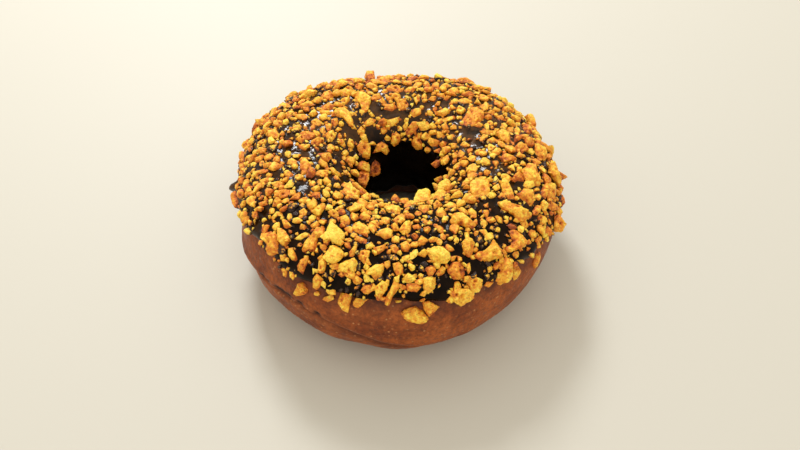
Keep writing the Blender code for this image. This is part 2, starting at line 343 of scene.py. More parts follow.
    (0.45, 350, 277, 357, 275, 363, 280, 361, 286, 353, 284),
    (0.55, 373, 248, 380, 246, 386, 244, 384, 250, 379, 256, 376, 252),
    (0.20, 363, 275, 369, 269, 376, 265, 384, 265, 383, 272, 380, 279, 376, 281, 371, 275),
    (0.40, 281, 268, 285, 266, 288, 271, 286, 278, 283, 276),
    (0.35, 289, 268, 293, 268, 296, 275, 293, 280, 290, 277),
    (0.45, 294, 293, 298, 284, 303, 281, 308, 287, 309, 292, 302, 295, 296, 296),
    (0.45, 313, 279, 317, 274, 324, 279, 323, 284, 317, 290, 313, 287),
    (0.45, 314, 291, 319, 290, 322, 294, 318, 296, 314, 295),
    (0.40, 321, 300, 325, 297, 332, 294, 334, 299, 328, 302),
    (0.35, 327, 287, 331, 284, 335, 290, 336, 295, 328, 295, 326, 291),
    (0.40, 339, 292, 345, 286, 350, 283, 354, 286, 353, 294, 350, 303, 348, 312, 342, 309, 338, 303),
    (0.60, 361, 290, 364, 285, 370, 285, 374, 290, 368, 294, 362, 294),
    (0.50, 353, 302, 357, 297, 366, 295, 371, 297, 366, 301, 358, 308, 353, 307),
    (0.30, 376, 286, 382, 281, 388, 284, 387, 290, 382, 296, 380, 301, 376, 299),
    (0.35, 394, 281, 399, 281, 400, 287, 393, 296, 389, 306, 385, 304, 386, 297, 391, 288),
    (0.30, 394, 300, 402, 300, 403, 302, 396, 303),
    # Front right
    (0.30, 436, 212, 439, 207, 446, 212, 447, 219, 441, 220, 437, 217),
    (0.25, 444, 206, 450, 202, 458, 203, 456, 209, 449, 209),
    (0.40, 458, 209, 462, 207, 468, 212, 467, 217, 461, 213),
    (0.30, 468, 210, 472, 208, 476, 212, 477, 218, 472, 218, 468, 214),
    (0.35, 450, 222, 452, 214, 461, 213, 468, 218, 476, 225, 474, 229, 466, 227, 458, 224, 453, 226),
    (0.50, 419, 222, 423, 218, 428, 221, 427, 226, 421, 226),
    (0.60, 412, 226, 418, 224, 422, 228, 418, 232, 413, 230),
    (0.55, 435, 227, 441, 225, 445, 229, 443, 234, 437, 232),
    (0.30, 428, 240, 432, 236, 438, 238, 437, 242, 430, 243),
    (0.50, 438, 236, 442, 233, 446, 236, 445, 241, 440, 241),
    (0.00, 452, 246, 454, 239, 457, 236, 459, 240, 457, 247),
    (0.45, 390, 246, 396, 243, 400, 248, 398, 254, 392, 253),
    (0.45, 400, 244, 407, 241, 411, 247, 408, 252, 402, 251),
    (0.20, 401, 261, 402, 257, 409, 254, 411, 257, 406, 262),
    (0.45, 406, 261, 409, 258, 413, 263, 410, 265),
    (0.50, 393, 264, 399, 262, 406, 268, 404, 274, 397, 276, 394, 270),
    (0.45, 384, 262, 390, 260, 391, 266, 387, 269, 384, 266),
    (0.60, 386, 275, 390, 272, 392, 277, 389, 281, 386, 279),
    (0.60, 404, 287, 407, 284, 417, 283, 421, 287, 417, 292, 407, 291),
    (0.00, 402, 279, 408, 273, 413, 276, 417, 280, 410, 283, 403, 282),
    (0.40, 417, 276, 421, 272, 425, 274, 422, 279, 418, 280),
    (0.45, 437, 270, 442, 266, 446, 268, 445, 274, 439, 278, 435, 275),
    (0.20, 423, 278, 429, 276, 436, 277, 437, 285, 431, 292, 425, 294, 423, 286),
    (0.05, 427, 254, 431, 247, 438, 246, 444, 249, 450, 254, 451, 259, 445, 264, 438, 264, 430, 262),
    (0.40, 462, 243, 466, 238, 471, 238, 474, 243, 474, 251, 469, 258, 464, 253),
    (0.60, 471, 235, 475, 231, 479, 231, 477, 237, 473, 238),
    (0.25, 478, 223, 484, 220, 489, 223, 487, 229, 485, 232, 480, 229),
    (0.15, 483, 237, 488, 233, 494, 232, 496, 237, 491, 240, 486, 240),
    (0.60, 500, 250, 505, 249, 507, 254, 504, 257),
    (0.30, 478, 257, 484, 251, 490, 246, 493, 240, 497, 245, 501, 250, 501, 257, 494, 260, 487, 264, 482,
     261),
    (0.50, 483, 209, 488, 208, 489, 213, 487, 220, 483, 218),
    (0.50, 503, 221, 507, 219, 510, 222, 506, 225),
    (0.45, 521, 222, 526, 221, 529, 226, 526, 230, 521, 228),
    (0.30, 497, 202, 504, 202, 520, 203, 529, 210, 528, 220, 518, 222, 512, 214, 504, 211),
    (0.55, 545, 205, 552, 202, 559, 204, 558, 210, 551, 213, 546, 210),
    (0.25, 534, 216, 540, 213, 547, 216, 547, 222, 541, 226, 536, 222),
    (0.50, 541, 229, 547, 226, 552, 230, 551, 236, 545, 238, 541, 235),
    (0.55, 536, 235, 541, 235, 542, 240, 537, 245, 535, 241),
    (0.50, 526, 233, 531, 229, 536, 230, 536, 237, 531, 240, 527, 237),
    (0.50, 508, 231, 517, 230, 523, 235, 528, 242, 523, 247, 514, 250, 510, 246, 511, 238),
    (0.45, 511, 252, 518, 251, 519, 257, 514, 260, 511, 257),
    (0.45, 532, 263, 535, 254, 540, 252, 542, 257, 539, 263, 534, 268),
    (0.35, 513, 266, 519, 264, 523, 271, 520, 277, 514, 280, 512, 274),
    (0.30, 497, 262, 506, 258, 515, 261, 515, 269, 511, 279, 505, 283, 500, 287, 496, 281, 498, 273),
    (0.25, 485, 268, 489, 264, 493, 267, 492, 272, 488, 273),
    (0.55, 488, 276, 491, 273, 494, 279, 491, 283),
    (0.30, 466, 263, 470, 262, 471, 270, 468, 275, 466, 269),
    (0.60, 447, 270, 452, 263, 460, 262, 464, 266, 466, 275, 460, 279, 453, 281, 450, 276),
    (0.35, 465, 286, 468, 279, 475, 277, 482, 280, 482, 287, 478, 292, 470, 292),
    (0.30, 450, 293, 457, 288, 467, 289, 474, 293, 474, 298, 467, 303, 461, 306, 454, 301),
    (0.35, 401, 313, 405, 309, 416, 306, 424, 311, 428, 319, 422, 324, 412, 322, 404, 318),
    (0.50, 421, 302, 429, 301, 436, 305, 441, 308, 436, 312, 430, 318, 424, 309),
)

# Patches of bare icing in the photograph: x, y and radius in pixels
BARE_PATCHES = (
    (305, 124, 5), (289, 137, 5), (350, 106, 5), (345, 130, 6), (354, 137, 7), (356, 150, 5), (372, 108, 5),
    (378, 113, 5), (356, 122, 4), (372, 132, 7), (377, 138, 5), (386, 115, 4), (396, 113, 4), (405, 115, 5),
    (414, 120, 4), (422, 116, 4), (427, 106, 4), (444, 105, 5), (456, 123, 4), (464, 132, 6), (473, 134, 8),
    (474, 143, 5), (482, 147, 4), (304, 188, 10), (238, 185, 12), (283, 151, 5), (277, 175, 5), (292, 150, 3),
    (308, 154, 5), (314, 163, 4), (338, 168, 5), (343, 181, 7), (337, 155, 4), (352, 180, 4), (320, 181, 4),
    (484, 170, 6), (492, 172, 5), (444, 171, 5), (513, 187, 6), (520, 185, 4), (494, 203, 6), (497, 212, 7),
    (503, 229, 6), (503, 240, 5), (476, 218, 4), (452, 224, 4), (447, 226, 4), (457, 252, 6), (465, 259, 4),
    (475, 268, 7), (481, 275, 5), (446, 284, 8), (440, 295, 9), (430, 299, 5), (412, 298, 8), (398, 307, 7),
    (373, 301, 5), (352, 290, 4), (368, 262, 4), (376, 239, 6), (384, 241, 5), (376, 260, 5), (386, 272, 3),
    (340, 283, 7), (336, 292, 5), (331, 268, 3), (308, 270, 6), (300, 255, 6), (314, 260, 4), (293, 264, 5),
    (272, 261, 6), (285, 264, 5), (301, 279, 5), (311, 281, 4), (323, 290, 4), (258, 226, 7), (258, 238, 7),
    (262, 250, 6), (250, 212, 4), (270, 207, 4), (264, 213, 5), (270, 224, 5), (296, 230, 4), (293, 244, 4),
    (409, 233, 5), (402, 208, 5), (422, 236, 4), (418, 262, 4), (526, 208, 3), (533, 203, 3), (525, 255, 5),
    (527, 265, 4), (533, 246, 5), (540, 248, 5), (496, 288, 4), (480, 294, 5), (508, 213, 3), (412, 213, 4),
)


# Shapes

LATTICE = 32


def waves(terms, azimuth):
    """Sum of cosine waves round the ring: each term is a count, a depth and a crest's azimuth in degrees."""
    return sum(depth * np.cos(count * (azimuth - math.radians(crest))) for count, depth, crest in terms)


def signed_power(value, power):
    return np.sign(value) * np.abs(value) ** power


def ring_point(azimuth, turn, lift=0.0):
    """Point of the dough's surface. The section is a superellipse between the hole's radius and the outer
    radius, which both vary with azimuth. Lift moves the point out along the section's normal. Below the floor
    the height is zero, and a parabola leads into it."""
    outer = RING_RADIUS + waves(RING_WAVES, azimuth)
    inner = HOLE_RADIUS + waves(HOLE_WAVES, azimuth)
    half_width = (outer - inner) / 2
    crown = CROWN_HEIGHT + waves(CROWN_WAVES, azimuth) - WAIST_HEIGHT
    half_height = np.where(np.sin(turn) > 0, crown, UNDERSIDE_DEPTH)
    across = signed_power(np.cos(turn), 2 / SQUARENESS)
    along = signed_power(np.sin(turn), 2 / SQUARENESS)
    out = signed_power(across, SQUARENESS - 1) / half_width
    up = signed_power(along, SQUARENESS - 1) / half_height
    steep = np.hypot(out, up)
    radius = (outer + inner) / 2 + half_width * across + lift * out / steep
    height = WAIST_HEIGHT + half_height * along + lift * up / steep
    soft = (height + UNDERSIDE_ROUNDING) ** 2 / (4 * UNDERSIDE_ROUNDING)
    height = np.where(height > UNDERSIDE_ROUNDING, height, np.where(height < -UNDERSIDE_ROUNDING, 0.0, soft))
    place = np.stack([radius * np.cos(azimuth), radius * np.sin(azimuth), height], axis=-1)
    return place + RING_CENTRE


def cloud(points, size, seed):
    """Smooth random values from -1 to 1: a lattice of random numbers at this spacing, blended by a
    smoothstep."""
    lattice = np.random.default_rng(seed).uniform(-1, 1, (LATTICE, LATTICE, LATTICE))
    place = points / size
    low = np.floor(place).astype(int)
    part = place - low
    part = part * part * (3 - 2 * part)
    total = np.zeros(points.shape[:-1])
    for corner in np.ndindex(2, 2, 2):
        weight = np.where(corner, part, 1 - part).prod(axis=-1)
        cell = (low + corner) % LATTICE
        total += weight * lattice[cell[..., 0], cell[..., 1], cell[..., 2]]
    return total


def clouds(points, layers):
    """Sum of clouds: each layer is a depth, a size and a seed."""
    return sum(depth * cloud(points, size, seed) for depth, size, seed in layers)


def spread(stops, count):
    """count values, where each stop (value, share) says what share of them lies below the value."""
    values, shares = zip(*stops)
    return np.interp(np.arange(count) / count, shares, values)


def bell(distance, width):
    return np.exp(-(distance / width) ** 2)


def along_ring(azimuth, place):
    """Distance along the outer side from a place, which is an azimuth in degrees."""
    return (azimuth - math.radians(place)) * RING_RADIUS


# Meshes

def make_piece(name, vertices, quads, triangles, material, values=None, crease=None):
    """A mesh object from vertices in millimetres, quads and triangles, with one number per vertex for each
    value. Edges that turn by more than the crease, in degrees, are shaded sharp."""
    mesh = bpy.data.meshes.new(name)
    corners = np.concatenate([quads.ravel(), triangles.ravel()])
    starts = np.concatenate([np.arange(len(quads)) * 4, len(quads) * 4 + np.arange(len(triangles)) * 3])
    mesh.vertices.add(len(vertices))
    mesh.vertices.foreach_set("co", (vertices * MM).astype(np.float32).ravel())
    mesh.loops.add(len(corners))
    mesh.loops.foreach_set("vertex_index", corners.astype(np.int32))
    mesh.polygons.add(len(starts))
    mesh.polygons.foreach_set("loop_start", starts.astype(np.int32))
    mesh.polygons.foreach_set("use_smooth", np.ones(len(starts), dtype=bool))
    for key, numbers in (values or {}).items():
        layer = mesh.attributes.new(key, "FLOAT", "POINT")
        layer.data.foreach_set("value", np.ascontiguousarray(numbers, dtype=np.float32).ravel())
    mesh.update(calc_edges=True)
    mesh.validate()
    if crease is not None:
        mesh.set_sharp_from_angle(angle=math.radians(crease))
    mesh.materials.append(material)
    piece = bpy.data.objects.new(name, mesh)
    bpy.context.scene.collection.objects.link(piece)
    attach(piece, "root")
    return piece


def ring_quads(rows, columns):
    """Quads of a grid that closes both ways, with columns round the ring and rows round the section."""
    row, column = np.meshgrid(np.arange(rows), np.arange(columns), indexing="ij")
    next_row = (row + 1) % rows
    next_column = (column + 1) % columns
    corners = (row * columns + column, row * columns + next_column,
               next_row * columns + next_column, next_row * columns + column)
    return np.stack(corners, axis=-1).reshape(-1, 4)


def ring_piece(name, points, material, values):
    rows, columns = points.shape[:2]
    no_triangles = np.zeros((0, 3), dtype=int)
    quads = ring_quads(rows, columns)
    return make_piece(name, points.reshape(-1, 3), quads, no_triangles, material, values)


# Materials

def new_material(name):
    material = bpy.data.materials.new(name)
    material.use_nodes = True
    return material, material.node_tree, material.node_tree.nodes["Principled BSDF"]


def add_node(tree, kind, **settings):
    """A node of this kind. A setting named for an input sets its value, and any other sets the node's own."""
    node = tree.nodes.new(kind)
    for key, value in settings.items():
        label = key.replace("_", " ").title()
        if label in node.inputs:
            node.inputs[label].default_value = value
        else:
            setattr(node, key, value)
    return node


def in_object(tree, texture, output):
    """An output of the texture, read in the object's own coordinates."""
    place = tree.nodes.new("ShaderNodeTexCoord")
    tree.links.new(place.outputs["Object"], texture.inputs["Vector"])
    return texture.outputs[output]


def noise(tree, size_mm, detail=3.0, roughness=0.55):
    """Noise with features of this size."""
    scale = 1 / (size_mm * MM)
    texture = add_node(tree, "ShaderNodeTexNoise", scale=scale, detail=detail, roughness=roughness)
    return in_object(tree, texture, "Fac")


def cells(tree, size_mm):
    """Distance to the nearest of scattered points, which lie about this far apart."""
    texture = add_node(tree, "ShaderNodeTexVoronoi", scale=1 / (size_mm * MM))
    return in_object(tree, texture, "Distance")


def attribute(tree, name):
    return add_node(tree, "ShaderNodeAttribute", attribute_name=name).outputs["Fac"]


def ruffled(tree, name, size_mm, detail, swing):
    """The attribute plus noise of this size, which swings about zero."""
    about_zero = combine(tree, "SUBTRACT", noise(tree, size_mm, detail), 0.5)
    return combine(tree, "ADD", attribute(tree, name), combine(tree, "MULTIPLY", about_zero, swing))


def ramp(tree, source, *stops):
    """Colour ramp over the source. Each stop is a position and a grey or a colour."""
    node = tree.nodes.new("ShaderNodeValToRGB")
    steps = node.color_ramp.elements
    while len(steps) < len(stops):
        steps.new(0.5)
    for step, (position, colour) in zip(steps, stops):
        step.position = position
        step.color = (*colour, 1.0) if isinstance(colour, tuple) else (colour, colour, colour, 1.0)
    tree.links.new(source, node.inputs["Fac"])
    return node.outputs["Color"]


def mix(tree, factor, first, second, blend="MIX"):
    """Mixes two colours; each may be a socket or a colour, and the factor a socket or a number."""
    node = add_node(tree, "ShaderNodeMix", data_type="RGBA", blend_type=blend)
    for socket, value in ((node.inputs[0], factor), (node.inputs[6], first), (node.inputs[7], second)):
        if isinstance(value, bpy.types.NodeSocket):
            tree.links.new(value, socket)
        elif isinstance(value, tuple):
            socket.default_value = (*value, 1.0)
        else:
            socket.default_value = value
    return node.outputs[2]


def combine(tree, operation, first, second, third=None):
    """A Math node on sockets or numbers."""
    node = add_node(tree, "ShaderNodeMath", operation=operation)
    for socket, value in zip(node.inputs, (first, second, third)):
        if isinstance(value, bpy.types.NodeSocket):
            tree.links.new(value, socket)
        elif value is not None:
            socket.default_value = value
    return node.outputs[0]


def bump(tree, height, depth_mm, below=None):
    """Bump of this depth from a height between 0 and 1, on top of the bump below."""
    node = add_node(tree, "ShaderNodeBump", strength=1.0, distance=depth_mm * MM)
    tree.links.new(height, node.inputs["Height"])
    if below is not None:
        tree.links.new(below, node.inputs["Normal"])
    return node.outputs["Normal"]


def dough_material():
    """Matte reddish brown skin, mottled coarsely and finely, with pale specks of crumb, a paler band along
    the fold and a painted highlight on its lip towards the end, blotchy painted shade below the icing's
    edge and in the hole, and painted shade in the fold's groove and pits."""
    material, tree, shader = new_material("baked chocolate dough")
    mottle = ramp(tree, noise(tree, 7.0, 4.0), (0.30, DOUGH_SKIN[0]), (0.70, DOUGH_SKIN[1]))
    fine = ramp(tree, noise(tree, 1.0, 4.0, 0.7), (0.30, 0.50), (0.70, 1.30))
    skin = mix(tree, 1.0, mottle, fine, "MULTIPLY")
    specks = ramp(tree, cells(tree, 1.2), (0.13, 1.0), (0.27, 0.0))
    patches = ramp(tree, noise(tree, 3.0), (0.46, 0.0), (0.60, 0.8))
    skin = mix(tree, combine(tree, "MULTIPLY", specks, patches), skin, DOUGH_SPECK)
    # Paler band below the fold, and a painted highlight on the lip towards its end
    skin = mix(tree, combine(tree, "MULTIPLY", attribute(tree, "pale_band_and_lip_highlight"), 0.22), skin, DOUGH_PALE_BAND_AND_LIP_HIGHLIGHT)
    # Painted shade, in blotches, below the icing's edge and in the hole
    painted_shade_blots = ramp(tree, noise(tree, 2.6, 4.0), (0.35, 0.25), (0.6, 0.85))
    skin = mix(tree, combine(tree, "MULTIPLY", attribute(tree, "painted_shade"), painted_shade_blots), skin, DOUGH_PAINTED_SHADE)
    # Painted shade in the groove and pits of the fold
    skin = mix(tree, attribute(tree, "groove"), skin, DOUGH_PAINTED_CREASE_SHADE)
    tree.links.new(skin, shader.inputs["Base Color"])
    tree.links.new(ramp(tree, noise(tree, 2.0), (0.3, 0.42), (0.7, 0.62)), shader.inputs["Roughness"])
    shader.inputs["Specular IOR Level"].default_value = 0.22
    wrinkles = bump(tree, noise(tree, 2.0, 4.0), 0.35)
    tree.links.new(bump(tree, noise(tree, 0.45, 2.0), 0.10, wrinkles), shader.inputs["Normal"])
    return material


def icing_material():
    """Near black chocolate with a gloss that dulls in patches, ripples, painted light as a paler brown
    towards the back and sides, where the gloss is also stronger, and a painted greyish sheen along its edge."""
    material, tree, shader = new_material("dark chocolate icing")
    colour = ramp(tree, noise(tree, 5.0), (0.3, ICING_BODY[0]), (0.7, ICING_BODY[1]))
    patches = ramp(tree, noise(tree, 2.4, 4.0), (0.35, 0.15), (0.65, 1.0))
    # Painted light where the light from behind falls; the gloss is stronger there too
    painted_backlight = combine(tree, "MULTIPLY", attribute(tree, "painted_backlight"), patches)
    colour = mix(tree, painted_backlight, colour, ICING_PAINTED_BACKLIGHT)
    # Painted sheen along the icing's edge on both sides
    colour = mix(tree, attribute(tree, "painted_edge_sheen"), colour, ICING_PAINTED_EDGE_SHEEN)
    tree.links.new(colour, shader.inputs["Base Color"])
    tree.links.new(ramp(tree, noise(tree, 4.0), (0.35, 0.06), (0.7, 0.18)), shader.inputs["Roughness"])
    wet = combine(tree, "MULTIPLY_ADD", attribute(tree, "painted_backlight"), 0.18, 0.04)
    tree.links.new(wet, shader.inputs["Specular IOR Level"])
    ripples = bump(tree, noise(tree, 2.6, 1.0), 0.24)
    tree.links.new(bump(tree, noise(tree, 0.8, 2.0), 0.06, ripples), shader.inputs["Normal"])
    return material


def crunch_material():
    """Golden toasted crunch: tone, which also carries painted shade, sets each place between pale gold and
    burnt orange, painted shade in pores darkens it, and glossy icing has soaked and smeared the foot."""
    material, tree, shader = new_material("golden crunch")
    gold = ramp(tree, ruffled(tree, "tone", 0.9, 4.0, 1.5), *CRUNCH_GOLD)
    # Painted shade in the pores
    painted_pore_shade = ramp(tree, cells(tree, 0.55), (0.12, 0.35), (0.34, 1.0))
    gold = mix(tree, 0.6, gold, mix(tree, 1.0, gold, painted_pore_shade, "MULTIPLY"))
    ragged = ruffled(tree, "soak", 0.7, 3.0, 1.6)
    chocolate = ramp(tree, ragged, (0.12, 1.0), (0.36, 0.0))
    colour = mix(tree, chocolate, gold, CRUNCH_SOAKED)
    tree.links.new(colour, shader.inputs["Base Color"])
    tree.links.new(ramp(tree, ragged, (0.12, 0.25), (0.36, 0.55)), shader.inputs["Roughness"])
    shader.inputs["Specular IOR Level"].default_value = 0.35
    shader.inputs["Subsurface Weight"].default_value = 0.25
    shader.inputs["Subsurface Radius"].default_value = (1.0, 0.45, 0.12)
    shader.inputs["Subsurface Scale"].default_value = 0.0007
    rough = bump(tree, noise(tree, 0.6, 4.0), 0.36)
    tree.links.new(bump(tree, cells(tree, 0.40), 0.10, rough), shader.inputs["Normal"])
    return material


# The dough

# Azimuths start here, in degrees, so that the whole fold lies within one turn
DOUGH_START = -300
DOUGH_COLUMNS = 440
DOUGH_ROW_STOPS = ((-92.0, 0.0), (-45.0, 0.16), (48.0, 0.80), (178.0, 0.90), (268.0, 1.0))
DOUGH_ROWS = 205


def fold_height(azimuth):
    return FOLD_HEIGHT + waves(FOLD_WAVES, azimuth)


def make_dough():
    """The ring's surface, sunk along the fold by a bell curve, swollen just above it, and uneven like a fried
    skin. Short pits and tears run along the lip over the fold, with painted shade in them and in the
    groove. Towards the fold's end the lip has a painted highlight. Painted shade lies in the hole and below
    the icing's edge, most in front."""
    azimuth = np.radians(np.arange(DOUGH_COLUMNS) * 360 / DOUGH_COLUMNS + DOUGH_START)[None, :]
    turn = np.radians(spread(DOUGH_ROW_STOPS, DOUGH_ROWS))[:, None]
    azimuth, turn = np.broadcast_arrays(azimuth, turn)
    smooth = ring_point(azimuth, turn)
    outside = np.clip(np.cos(turn) * 4, 0, 1)
    wander = FOLD_WANDER + FOLD_WANDER * cloud(smooth, 5.0, 11)
    above = smooth[..., 2] - fold_height(azimuth) + wander
    strength = outside * (0.55 + 0.45 * np.cos(azimuth - math.radians(FOLD_STRONGEST)))
    groove = strength * bell(above, FOLD_WIDTH)
    lip = strength * bell(above - 1.9, 1.3)
    bulge = bell(along_ring(azimuth, FOLD_BULGE), FOLD_BULGE_LENGTH) * bell(above - 1.7, 1.9)
    pits = sum(bell(along_ring(azimuth, place), FOLD_PIT_LENGTH) for place in FOLD_PITS)
    torn = bell(along_ring(azimuth, FOLD_TEAR), FOLD_TEAR_LENGTH)
    torn = torn * np.clip(2.2 * cloud(smooth, 1.1, 15) - 0.5, 0, 1)
    pits = outside * np.clip(pits * bell(above - 1.3, 0.72) + torn * bell(above - 1.2, 0.7), 0, 1)
    raised = clouds(smooth, SKIN_LAYERS) + FOLD_LIP * lip + FOLD_BULGE_DEPTH * bulge * outside
    points = ring_point(azimuth, turn, raised - FOLD_DEPTH * groove - FOLD_PIT_DEPTH * pits)

    below_icing = (coat_edges(azimuth)[0] - turn) * SECTION_RADIUS
    # Painted shade below the icing's edge, strongest in front, away from the light behind
    in_front = np.clip(-np.sin(azimuth - math.radians(PAINTED_SHADE_AZIMUTH)), 0, 1)
    shade = in_front * bell(np.clip(below_icing - PAINTED_SHADE_START, 0, None), PAINTED_SHADE_WIDTH)
    # Painted shade in the hole
    hole = np.clip(-2 * np.cos(turn), 0, 1)
    end = bell(along_ring(azimuth, FOLD_END), FOLD_END_LENGTH)
    # Paler band below the fold, and a painted highlight where the lip catches the light towards the fold's
    # end
    pale_band_and_lip_highlight = (1 - end) * bell(above + 1.1, 0.7) + 2.8 * end * bell(above - 0.75, 0.45)
    # Painted shade in the groove, below the lip towards the fold's end, and in the pits
    painted_crease_shade = 0.75 * groove ** 3 + 0.45 * end * strength * bell(above + 0.6, 0.9)
    values = {"pale_band_and_lip_highlight": strength * pale_band_and_lip_highlight, "groove": np.clip(painted_crease_shade + 1.6 * pits, 0, 1),
              "painted_shade": np.maximum(shade * outside, hole)}
    dough = ring_piece("dough", points, dough_material(), values)
    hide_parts("dough_ring")


# The icing

COAT_COLUMNS = 420
COAT_OUTSIDE_STOPS = ((0.0, 0.0), (0.02, 0.12), (0.09, 0.26), (0.93, 0.90), (1.0, 1.0))
COAT_OUTSIDE_ROWS = 205
COAT_INSIDE_ROWS = 24


def coat_edges(azimuth):
    """The turns at which the icing starts on the outer side, lower at the drop, and ends in the hole."""
    first = np.radians(COAT_OUTER_EDGE + waves(COAT_OUTER_WAVES, azimuth))
    last = np.radians(COAT_HOLE_EDGE + waves(COAT_HOLE_WAVES, azimuth))
    return first - math.radians(COAT_DROP_REACH) * bell(from_drop(azimuth), COAT_DROP_WIDTH), last


def from_drop(azimuth):
    """Distance along the ring from the icing's drop."""
    return 2 * RING_RADIUS * np.sin((azimuth - math.radians(COAT_DROP_AZIMUTH)) / 2)


def coat_lift(azimuth, turn):
    """Height of the icing above the dough: level over the crown and a little uneven, rounded off like a
    quarter of an ellipse at both edges, with a bead along them and one drop that hangs on the left side."""
    first, last = coat_edges(azimuth)
    inland = np.clip(np.minimum(turn - first, last - turn) * SECTION_RADIUS, 0, None)
    short = np.clip(inland / COAT_EDGE_ROUNDING, 0, 1)
    smooth = ring_point(azimuth, turn)
    level = COAT_HEIGHT + 0.22 * cloud(smooth, 7.0, 21) + 0.08 * cloud(smooth, 2.2, 22)
    bead = COAT_EDGE_BEAD * bell(inland - 1.4, 1.0)
    away = np.hypot(from_drop(azimuth), (turn - math.radians(COAT_DROP_TURN)) * SECTION_RADIUS)
    drop = COAT_DROP_HEIGHT * bell(away ** 2, COAT_DROP_WIDTH ** 2)
    return (level + bead + drop) * np.sqrt(1 - (1 - short) ** 2)


def make_icing(crumbs):
    """A closed shell: out over the crown at the coat's height, and back just inside the dough's surface. The
    coat rises a little round the foot of each larger crumb. Its painted light, a paler brown, fades towards
    the front and ends above the hole. On both sides its edge has a painted greyish sheen."""
    azimuth = np.radians(np.arange(COAT_COLUMNS) * 360 / COAT_COLUMNS)[None, :]
    first, last = coat_edges(azimuth)
    outside = spread(COAT_OUTSIDE_STOPS, COAT_OUTSIDE_ROWS)[:, None]
    inside = np.linspace(1, 0, COAT_INSIDE_ROWS, endpoint=False)[:, None]
    turn = first + (last - first) * np.concatenate([outside, inside])
    azimuth = np.broadcast_to(azimuth, turn.shape)
    lift = coat_lift(azimuth, turn)
    lift[COAT_OUTSIDE_ROWS:] = -COAT_SUNK
    top = ring_point(azimuth, turn, lift)[:COAT_OUTSIDE_ROWS]
    swell = np.zeros(top.shape[:2])
    for place, size in zip(crumbs["place"], crumbs["size"]):
        near = np.linalg.norm(top - place, axis=-1) / (CRUMB_SWELL_REACH * size)
        swell = np.maximum(swell, CRUMB_SWELL * np.exp(-near ** 4))
    lift[:COAT_OUTSIDE_ROWS] += swell
    # Painted light: strongest at the back and sides, weaker in front, none in the hole
    crown = np.clip(7.0 - turn / math.radians(20.0), 0, 1)
    sides = 0.12 * np.abs(np.cos(azimuth))
    painted_backlight = crown * (0.04 + sides + 0.76 * np.clip(0.6 + 0.9 * np.sin(azimuth), 0, 1))
    inland = (turn - first) * SECTION_RADIUS
    # Painted sheen: grey along the edge on both sides, where it reflects the pale room
    painted_edge_sheen = 0.55 * bell(inland - 0.5, 0.8) * np.clip(1.8 * np.abs(np.cos(azimuth)) - 0.8, 0, 1)
    points = ring_point(azimuth, turn, lift)
    icing = ring_piece("icing", points, icing_material(), {"painted_backlight": painted_backlight, "painted_edge_sheen": painted_edge_sheen})
    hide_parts("chocolate_icing")


# The crunch

OUTLINE_SLOTS = 11
FLAKE_SIZE = 3.0
ICING_SINK = 0.2
CRUMB_CREASE = 22.0

# A grain: its superellipse, its slanting cuts, its dents, and its clouds as depth, size and seed
GRAIN_WIDE_POWER = 3.2
GRAIN_HIGH_POWER = 2.2
GRAIN_CROWDING = 1.5
GRAIN_CUTS = 5
GRAIN_CUT_REACH = (0.54, 0.94)
GRAIN_DENTS = 2
DENT_SHARE = 0.6
DENT_WIDTH = 0.10
DENT_DEPTH = 0.16
LUMP_LAYERS = ((0.022, 0.30, 31),)
GRIT_LAYERS = ((0.024, 0.13, 32), (0.020, 0.07, 33))

# The crumbs of the table: how much wider they are made, how far they turn to the camera, and their thickness
OUTLINE_SWELL = 1.06
SEEN_TURNED = 0.8
SEEN_WOBBLE = 0.22
SEEN_LARGE = 5
SEEN_THICK = (0.38, 0.62)
SEEN_THICK_LARGE = (0.30, 0.45)
FARTHER_COSTS = 0.35

# Strewn crumbs: count, smallest and largest size, share of the sizes kept clear, tries, and thickness by size
STREWN_FLAKES = (40, 4.0, 7.0, 0.95, 3000, (0.32, 0.5))
STREWN_NUGGETS = (620, 1.9, 3.6, 0.74, 24000, (0.4, 0.75))
STREWN_BITS = (1600, 0.9, 2.1, 0.66, 44000, (0.5, 0.9))
STREWN_DUST = (1900, 0.35, 0.8, 0.7, 9000, (0.5, 0.85))
STREWN_TURNS = (8, 142)
STREWN_RADIUS = 44
STREWN_TILT = 0.30
STREWN_TONE = (0.39, 0.20)
DUST_TONE = 0.25

CRUMB_PARTS = ("azimuth", "turn", "size", "thick", "tone", "smear", "corners", "middle", "first", "second",
               "facing")


def grain_grid(below, above, columns):
    """Rings of a closed grain: how wide and how high each is, from a superellipse. Rings crowd towards the
    widest. Also its quads, and triangles round both poles."""
    down = 1 - (np.arange(below, 0, -1) / (below + 1)) ** GRAIN_CROWDING
    up = 1 - (np.arange(1, above + 1) / (above + 1)) ** GRAIN_CROWDING
    wide = np.concatenate([down, [1.0], up])
    high = (1 - wide ** GRAIN_WIDE_POWER) ** (1 / GRAIN_HIGH_POWER)
    high[:below] *= -1
    rows = len(wide)
    row, column = np.meshgrid(np.arange(rows - 1), np.arange(columns), indexing="ij")
    after = (column + 1) % columns
    quads = 1 + np.stack([row * columns + column, row * columns + after,
                          (row + 1) * columns + after, (row + 1) * columns + column], axis=-1).reshape(-1, 4)
    column = np.arange(columns)
    after = (column + 1) % columns
    last = 1 + (rows - 1) * columns
    foot = np.stack([np.zeros(columns, int), 1 + after, 1 + column], axis=-1)
    tip = np.stack([np.full(columns, rows * columns + 1), last + column, last + after], axis=-1)
    triangles = np.concatenate([foot, tip])
    return {"wide": wide, "high": high, "columns": columns, "quads": quads, "triangles": triangles}


